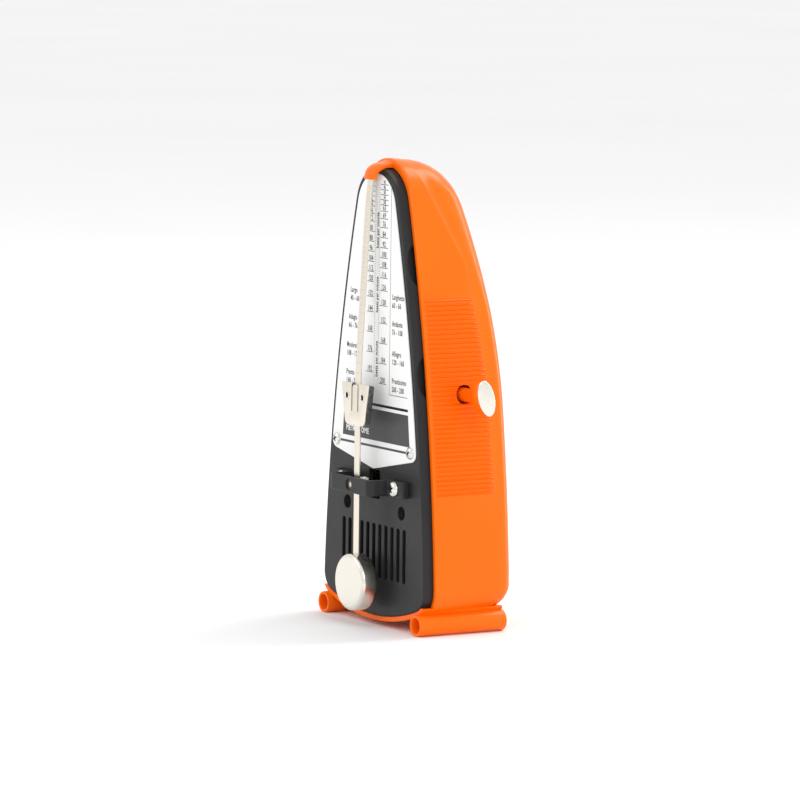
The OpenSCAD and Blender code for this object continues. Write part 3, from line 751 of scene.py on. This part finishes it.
def lettering(words, narrow=0.74):
    """Mesh of (text, x, z, height, align, turned) entries, just in front of the plate."""
    parts = []
    for text, x, z, height, align, turned in words:
        curve = bpy.data.curves.new("words", "FONT")
        curve.body = text
        curve.size = height * 1.38
        curve.align_x = align
        curve.resolution_u = 2
        curve.extrude = 0.01
        curve.offset = 0.05
        curve.space_character = 1.08
        obj = bpy.data.objects.new("words", curve)
        scene.collection.objects.link(obj)
        mesh = bpy.data.meshes.new_from_object(
            obj.evaluated_get(bpy.context.evaluated_depsgraph_get()))
        verts = []
        for v in mesh.vertices:
            u, w = v.co.x * narrow, v.co.y
            if turned:
                u, w = -w, u
            verts.append((x + u, PRINT_D - 0.01 - v.co.z, z + w))
        parts.append((verts, [tuple(reversed(p.vertices)) for p in mesh.polygons]))
        bpy.data.objects.remove(obj)
        bpy.data.meshes.remove(mesh)
        bpy.data.curves.remove(curve)
    return merge(parts)


def build_print():
    bars, words = [], []
    line = 0.11
    for k, tempo in enumerate(TEMPI[:-1]):
        z = tempo_z(tempo)
        right = k % 2 == 1
        x0, x1 = (3.1, 8.2) if right else (-5.3, -0.9)
        bars.append(bar(x0, z - line, x1, z + line))
        height = 1.9
        if k + 2 < len(TEMPI):
            height = min(height, 0.72 * (z - tempo_z(TEMPI[k + 2])))
        words.append((str(tempo), (x0 + x1) / 2, z + 0.32, height, "CENTER", False))
    frame_x, frame_z, frame_top, frame_end = 10.2, 80.1, 150.6, 22.2
    thin = 0.09
    bars.append(bar(frame_x - thin, frame_z, frame_x + thin, frame_top))
    bars.append(bar(frame_x, frame_z - 0.1, frame_end, frame_z + 0.1))
    dot_count, dot_low, dot_pitch = 84, 84.5, 0.79
    for k in range(dot_count):
        z = dot_low + k * dot_pitch
        for x0, x1 in ((2.3, 2.75), (-0.35, 0.05)):
            bars.append(bar(x0, z - thin, x1, z + thin))
    for z, text in ((85.5, "beats per minute"), (107.5, "beats per minute"),
                    (129.5, "beats per minute")):
        words.append((text, 2.1, z, 1.6, "LEFT", True))
    for x, z, name, span in TEMPO_WORDS:
        words.append((name, x, z, 1.85, "LEFT", False))
        words.append((span, x, z - 2.9, 1.85, "LEFT", False))
    ink = new_object("scale_print_black", *merge(bars + [lettering(words)]))
    finish_mesh(ink, ink_black, 30)
    seat(ink, "case", "black_plastic")

    def sloped(x0a, x0b, x1a, x1b, low, high, lift=0.0):
        return prism([(x0a, low), (x1a, low), (x1b, high), (x0b, high)], "d",
                     PRINT_D - 0.02 - lift, PRINT_D + 0.01)
    stripe = new_object("scale_print_stripe", *sloped(-20.0, -19.95, 22.75, 22.7, 75.35, 76.25))
    finish_mesh(stripe, ink_black, 30)
    seat(stripe, "case", "black_plastic")
    block = new_object("scale_print_grey", *merge([
        sloped(-20.9, -20.0, 24.1, 22.9, 63.5, 74.25),
        sloped(-22.4, -22.3, 22.4, 22.3, 61.05, 61.85)]))
    finish_mesh(block, ink_grey, 30)
    seat(block, "case", "black_plastic")
    title = lettering([("METRONOME", -18.6, 65.3, 2.0, "LEFT", False)], 0.86)
    title = ([(x, d - 0.015, z) for x, d, z in title[0]], title[1])
    title = new_object("scale_print_white", *title)
    finish_mesh(title, ink_white, 30)
    seat(title, "case", "white_aluminium")


# ---------------------------------------------------------------- screws
def screw(x, z, seat_d, head_r, head_h, shank_r, end_d):
    """A domed cross-slot screw along d."""
    top = seat_d - head_h
    profile = [(0, top), (head_r * 0.3, top + head_h * 0.03), (head_r * 0.62, top + head_h * 0.16),
               (head_r * 0.86, top + head_h * 0.4), (head_r * 0.98, top + head_h * 0.72),
               (head_r, top + head_h * 0.9), (head_r * 0.97, seat_d), (shank_r, seat_d),
               (shank_r, end_d - 0.4), (shank_r * 0.6, end_d), (0, end_d)]
    body = new_object("screw", *spun(profile, "d", (x, 0, z), 40))
    arm, wide, tip = head_r * 0.66, head_r * 0.15, head_r * 0.06
    cross = []
    for turn in (0.5, 0.5 + math.pi / 2):
        def at(u, w, d):
            return (x + u * math.cos(turn) - w * math.sin(turn), d,
                    z + u * math.sin(turn) + w * math.cos(turn))
        low, deep = top - 0.3, top + head_h * 0.75
        cross.append(loft([[at(-arm, -wide, low), at(arm, -wide, low), at(arm, wide, low),
                            at(-arm, wide, low)],
                           [at(-tip * 4, -wide * 0.6, deep), at(tip * 4, -wide * 0.6, deep),
                            at(tip * 4, wide * 0.6, deep), at(-tip * 4, wide * 0.6, deep)]]))
    cut(body, new_object("cutter", *merge(cross)))
    return body, profile


def build_screws(name, off_x, z, sizes, slot, node):
    """A left and a right screw; sizes are screw()'s, from the seat's depth to the tip's."""
    seat_d, head_r = sizes[:2]
    obj, profile = screw(-off_x, z, *sizes)
    obj.name = name
    absorb(obj, screw(off_x, z, *sizes)[0])
    finish_mesh(obj, chrome, 40)
    obj.data.materials.append(recess)
    # Faces down in the cross recess get the dark recess material: painted shade in the recess.
    below_dome = 0.09
    for poly in obj.data.polygons:
        x, d = (poly.center.x - MID_X) / MM, (poly.center.y - FACE_Y) / MM
        r = math.hypot(abs(x) - off_x, poly.center.z / MM - z)
        if r > head_r * 0.75 or d > seat_d:
            continue
        for (r0, d0), (r1, d1) in zip(profile, profile[1:]):
            if r0 <= r <= r1 and d > d0 + (d1 - d0) * (r - r0) / (r1 - r0) + below_dome:
                poly.material_index = 1
    seat(obj, "case", slot, node)


# ---------------------------------------------------------------- pivot bridge
def build_bridge():
    half = [(13.9, -10.2), (13.9, -2.5), (23.3, -2.5), (23.5, 0.0), (12.3, 0.0), (12.3, -8.6)]
    radii = [2.6, 0.9, 0.7, 0, 0, 1.5]
    plan = rounded(half + [(-x, d) for x, d in reversed(half)], radii + radii[::-1], 7)
    half_height = 2.75
    bridge = new_object("bridge_moulding",
                        *prism(plan, "z", PIVOT_Z - half_height, PIVOT_Z + half_height))
    bevel(bridge, 0.32, 3, 50)
    cutter = revolve([(0.001, -11.0), (2.1, -11.0), (2.1, -10.15), (1.85, -9.95), (1.8, -8.0),
                      (0.001, -8.0)], "d", (0, 0, PIVOT_Z), 40)
    cut(bridge, new_object("cutter", *cutter))
    finish_mesh(bridge, black, 35, True)
    seat(bridge, "case", "black_plastic", "pivot_bridge")


# ---------------------------------------------------------------- rod, bob, hub
ROD_CURVE = [(-6.75, 20.0), (-6.75, 36.0), (-6.75, 52.0), (-6.75, 68.0), (-6.7, 84.0),
             (-6.3, 95.0), (-5.6, 108.0), (-4.75, 124.0), (-4.0, 137.0), (-3.15, 148.0),
             (-2.35, 154.3)]


def build_rod():
    curve = smooth_path(ROD_CURVE, 80)
    half_w, half_t, chamfer = 1.75, 0.3, 0.1
    stations = [(p.y, 0.0) for p in curve]
    for tempo in TEMPI:
        z = tempo_z(tempo)
        if z < 151:
            stations += [(z - 0.14, 0.0), (z, 0.13), (z + 0.14, 0.0)]
    stations.sort()
    kept = []
    for z, notch in stations:
        if kept and z - kept[-1][0] < 0.03:
            continue
        kept.append((z, notch))

    def depth_at(z):
        for a, b in zip(curve, curve[1:]):
            if z <= b.y:
                return a.x + (b.x - a.x) * (z - a.y) / (b.y - a.y)
        return curve[-1].x
    loops = []
    for z, notch in kept:
        d = depth_at(z)
        front, back = d - half_t + notch, d + half_t
        inner = half_w - chamfer
        loops.append([(-half_w, front + chamfer, z), (-inner, front, z), (inner, front, z),
                      (half_w, front + chamfer, z), (half_w, back - chamfer, z), (inner, back, z),
                      (-inner, back, z), (-half_w, back - chamfer, z)])
    rod = new_object("rod_strip", *loft(loops))
    finish_mesh(rod, nickel, 25)
    seat(rod, "pendulum", "nickelled_steel", "pendulum_rod")


def build_bob():
    r, t, edge = 9.75, 6.3, 1.25
    front = -6.75 - t / 2
    profile = [(0, front)]
    profile += [(r * 0.45, front), (r - edge - 0.4, front + 0.01)]
    for k in range(9):
        a = math.pi / 2 * k / 8
        profile.append((r - edge + edge * math.sin(a), front + 0.02 + edge * (1 - math.cos(a))))
    for k in range(9):
        a = math.pi / 2 * k / 8
        profile.append((r - edge + edge * math.cos(a), front + t - edge + edge * math.sin(a)))
    profile += [(r * 0.45, front + t), (0, front + t)]
    bob = new_object("bob_turned", *spun(profile, "d", (0, 0, 15), 96))
    finish_mesh(bob, bright, 40)
    seat(bob, "pendulum", "polished_nickel", "pendulum_bob")


def build_hub():
    profile = [(0, -8.1), (0.9, -8.1), (1.3, -7.95), (1.42, -7.7), (1.44, -6.4), (2.0, -6.4),
               (2.3, -6.25), (2.4, -5.9), (2.4, -5.0), (2.1, -4.7), (2.1, -4.2), (2.4, -3.9),
               (2.4, -2.5), (2.2, -2.2), (0, -2.2)]
    hub = new_object("hub_turned", *spun(profile, "d", (0, 0, PIVOT_Z), 40))
    finish_mesh(hub, chrome, 35)
    seat(hub, "pendulum", "steel", "pendulum_hub")


# ---------------------------------------------------------------- slider
SLIDER_Z, SLIDER_H = 76.2, 14.4


def eyelet_holes(low, high, r=1.1):
    profile = [(0, low), (r, low), (r, high), (0, high)]
    return new_object("cutter", *both(spun(profile, "d", (EYELET_X, 0, EYELET_Z), 24)))


def build_slider():
    low, high = SLIDER_Z - SLIDER_H / 2, SLIDER_Z + SLIDER_H / 2
    slit_in, slit_out, slit_low = 1.72, 2.35, SLIDER_Z - 2.4
    points = [(-6.4, low), (6.4, low), (9.0, high), (slit_out, high), (slit_out, slit_low),
              (slit_in, slit_low), (slit_in, high - 0.5), (-slit_in, high - 0.5),
              (-slit_in, slit_low), (-slit_out, slit_low), (-slit_out, high), (-9.0, high)]
    radii = [2.2, 2.2, 0.5, 0.3, 0.2, 0.2, 1.3, 1.3, 0.2, 0.2, 0.3, 0.5]
    plate = rounded(points, radii, 6)
    front = (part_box("slider_plate")[0].y - FACE_Y) / MM
    obj = new_object("slider_face", *prism(plate, "d", front, front + 0.5))
    bevel(obj, 0.1, 2, 50)
    cut(obj, eyelet_holes(front - 1, front + 1))
    finish_mesh(obj, nickel, 35)
    seat(obj, "slider", "nickelled_steel", "slider_plate")

    eyelet = [(0, 1.2), (0.9, 1.2), (0.92, -0.02), (1.05, -0.24), (1.25, -0.3), (1.48, -0.22),
              (1.6, 0.0), (1.06, 0.05), (1.04, 2.7), (0, 2.7)]
    obj = new_object("slider_eyelets",
                     *both(spun(eyelet, "d", (EYELET_X, front, EYELET_Z), 32)))
    finish_mesh(obj, chrome, 40)
    obj.data.materials.append(recess)
    # Faces inside the eyelets' holes get the dark recess material: painted shade in the holes.
    for poly in obj.data.polygons:
        c = poly.center
        r = math.hypot(abs(c.x - MID_X) / MM - EYELET_X, c.z / MM - EYELET_Z)
        if r < 0.95 and (c.y - FACE_Y) / MM < front + 1.5:
            poly.material_index = 1
    seat(obj, "slider", "nickelled_steel", "slider_rivets")

    body = rounded([(1.85, low + 0.5), (6.0, low + 0.5), (8.6, high - 0.4),
                    (1.85, high - 0.4)], [0.3, 1.6, 0.6, 0.3], 5)
    cheeks = both(prism(body, "d", front + 0.5, front + 2.8))
    clip = prism(rounded([(-2.4, low + 0.6), (2.4, low + 0.6), (2.4, low + 4.6),
                          (-2.4, low + 4.6)], [0.3] * 4, 3), "d", front + 2.35, front + 2.8)
    obj = new_object("slider_casting", *merge([cheeks, clip]))
    bevel(obj, 0.3, 2, 50)
    cut(obj, eyelet_holes(front - 1, front + 4))
    finish_mesh(obj, zinc, 45)
    seat(obj, "slider", "grey_zinc", "slider_weight")


# ---------------------------------------------------------------- winding key
LEAN = math.radians(15.8)


def key_oval(grow, n=64):
    """Pointed oval of the key's head in (d, z)."""
    pts = []
    for k in range(n):
        a = 2 * math.pi * k / n
        u, w = (3.1 + grow) * math.cos(a), (6.25 + grow) * math.sin(a)
        pts.append((KEY_D + u * math.cos(LEAN) - w * math.sin(LEAN),
                    KEY_Z + u * math.sin(LEAN) + w * math.cos(LEAN)))
    return pts


def build_key():
    end = (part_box("key_cap")[1].x - MID_X) / MM
    head = end - 5.2
    n = 96
    stem = []
    for x in (17.0, head + 0.4):
        loop = []
        for k in range(n):
            a = 2 * math.pi * k / n
            r = 2.3 - 0.22 * (0.5 + 0.5 * math.cos(16 * a))
            loop.append((x, KEY_D + r * math.cos(a), KEY_Z + r * math.sin(a)))
        stem.append(loop)
    profile = [(-0.9, head), (-0.3, head + 0.15), (-0.05, head + 0.5), (0.0, head + 0.9),
               (0.0, end - 1.0), (-0.15, end - 0.75)]
    loops = [[(x, d, z) for d, z in key_oval(grow)] for grow, x in profile]
    obj = new_object("key_moulding", *merge([loft(stem), loft(loops)]))
    finish_mesh(obj, orange, 35)
    seat(obj, "winder", "orange_plastic", "winding_key")
    profile = [(-0.1, end - 0.72), (0.02, end - 0.6), (0.05, end - 0.35), (-0.05, end - 0.15),
               (-0.3, end - 0.05), (-0.8, end)]
    loops = [[(x, d, z) for d, z in key_oval(grow)] for grow, x in profile]
    obj = new_object("key_cap_disc", *loft(loops))
    finish_mesh(obj, bright, 50)
    seat(obj, "winder", "chromed_steel", "key_cap")


# ---------------------------------------------------------------- stage, light, camera
def build_stage():
    """A white floor under a white sky."""
    mesh = bpy.data.meshes.new("floor")
    bm = bmesh.new()
    bmesh.ops.create_grid(bm, x_segments=8, y_segments=8, size=14.0)
    bm.to_mesh(mesh)
    bm.free()
    floor = bpy.data.objects.new("floor", mesh)
    scene.collection.objects.link(floor)
    floor.location.z = -0.0001
    mesh.materials.append(floor_white)
    world = bpy.data.worlds.new("studio")
    scene.world = world
    world.use_nodes = True
    back = world.node_tree.nodes["Background"]
    back.inputs["Color"].default_value = (1.0, 1.0, 1.0, 1)
    back.inputs["Strength"].default_value = 1.0


def area_light(name, where, target, size, power, size_y=None):
    data = bpy.data.lights.new(name, "AREA")
    data.energy = power
    data.size = size
    if size_y:
        data.shape = "RECTANGLE"
        data.size_y = size_y
    obj = bpy.data.objects.new(name, data)
    scene.collection.objects.link(obj)
    obj.location = where
    obj.rotation_euler = (Vector(target) - Vector(where)).to_track_quat("-Z", "Y").to_euler()
    return obj


def build_lights():
    aim = (0, 0, 0.08)
    area_light("key_softbox", (-0.55, -1.15, 0.95), aim, 0.9, 3.0)
    area_light("side_softbox", (1.5, -0.2, 0.9), aim, 0.5, 5.0)
    area_light("rear_strip", (0.15, 1.5, 0.45), aim, 0.16, 7.0, 1.2)
    area_light("top_softbox", (-0.1, 0.9, 1.15), aim, 0.6, 6.0)


def build_camera():
    """The photograph's view: from the front right, a little above, with a long lens."""
    az, el, roll = math.radians(59.293), math.radians(6.274), math.radians(0.698)
    back = Vector((math.sin(az) * math.cos(el), -math.cos(az) * math.cos(el), math.sin(el)))
    flat = Vector((math.cos(az), math.sin(az), 0))
    up = back.cross(flat)
    right = flat * math.cos(roll) + up * math.sin(roll)
    up = up * math.cos(roll) - flat * math.sin(roll)
    where = place((-9.544, 15.53, 75.61)) + back * 1.824056
    data = bpy.data.cameras.new("camera")
    data.lens = 238.02
    data.sensor_width = 36.0
    data.clip_start, data.clip_end = 0.05, 60
    cam = bpy.data.objects.new("camera", data)
    scene.collection.objects.link(cam)
    cam.matrix_world = Matrix((
        (right.x, up.x, back.x, where.x), (right.y, up.y, back.y, where.y),
        (right.z, up.z, back.z, where.z), (0, 0, 0, 1)))
    scene.camera = cam


build_camera()
build_stage()
build_lights()
scene.view_settings.view_transform = "Standard"
build_housing()
build_chassis()
build_plate()
build_print()
build_screws("plate_screw_pair", PLATE_SCREW_X, PLATE_SCREW_Z, (-0.5, 2.1, 1.2, 1.0, 5.5),
             "chromed_steel", "scale_plate_screws")
build_screws("bridge_screw_pair", BRIDGE_SCREW_X, PIVOT_Z, (-2.5, 2.6, 1.6, 1.2, 5.5),
             "chromed_steel", "bridge_screws")
build_screws("housing_screw_pair", HOUSING_SCREW_X, HOUSING_SCREW_Z, (3.4, 2.1, 1.5, 1.2, 31),
             "steel", "housing_screws")
build_bridge()
build_rod()
build_bob()
build_hub()
build_slider()
build_key()

FINISH = {"steel": steel, "brass": brass, "chromed_steel": chrome}
slots = {s["node"]: s["material_slot"] for s in frame["record"]["subparts"]}
# Parts kept from the CAD get plain metal finishes, except the pivot bushes, which get the darkened
# brass as painted shade for their hole.
for name, obj in nodes.items():
    if not obj.hide_render:
        obj.data.materials.clear()
        obj.data.materials.append(bush_painted_shade_brass if "bush" in name else FINISH[slots[name]])
